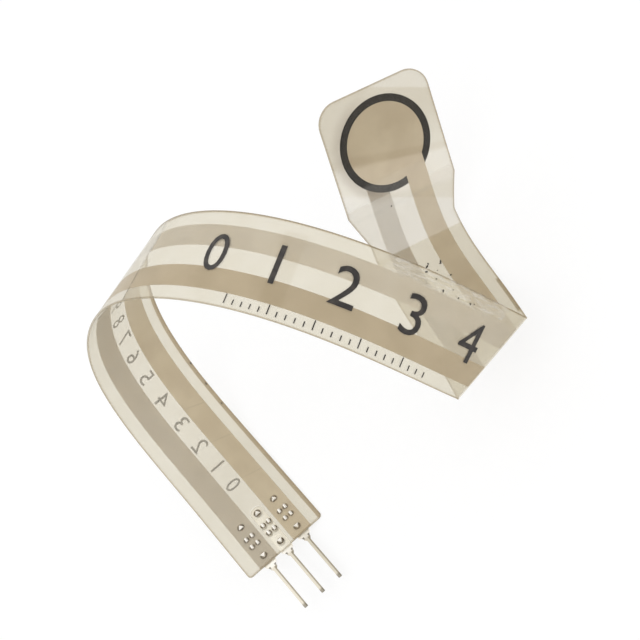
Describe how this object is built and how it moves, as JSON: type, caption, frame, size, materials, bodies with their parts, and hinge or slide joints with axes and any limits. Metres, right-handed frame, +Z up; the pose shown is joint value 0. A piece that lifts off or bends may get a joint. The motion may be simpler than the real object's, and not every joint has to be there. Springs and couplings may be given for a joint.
{
  "type": "force sensing resistor strip",
  "caption": "Thin laminated force sensing strip with a round sensing disc on a wider head, two traces and a crimped pin header, curled as a loose helix.",
  "frame": {"origin": "on the floor below the middle of the part's box", "axes": "+Z up from the floor that the strip rests on; +X along the longest side of its box, from the bend by the pins towards the head; the back film of the head faces -Y and down"},
  "size_m": [0.06, 0.0488, 0.0345],
  "materials": {
    "film": "clear polyester film, faintly warm",
    "adhesive": "clear pressure sensitive adhesive",
    "silver_ink": "screen printed silver ink, beige, dull",
    "sensing_ink": "dark pressure sensitive ink",
    "terminal": "tin plated, worn bright"
  },
  "bodies": {
    "root": {"front_film": "film", "back_film": "film", "adhesive_layer": "adhesive", "front_conductor": "silver_ink", "back_conductor": "silver_ink", "front_ink": "sensing_ink", "back_ink": "sensing_ink", "left_terminal": "terminal", "centre_terminal": "terminal", "right_terminal": "terminal"}
  },
  "joints": []
}
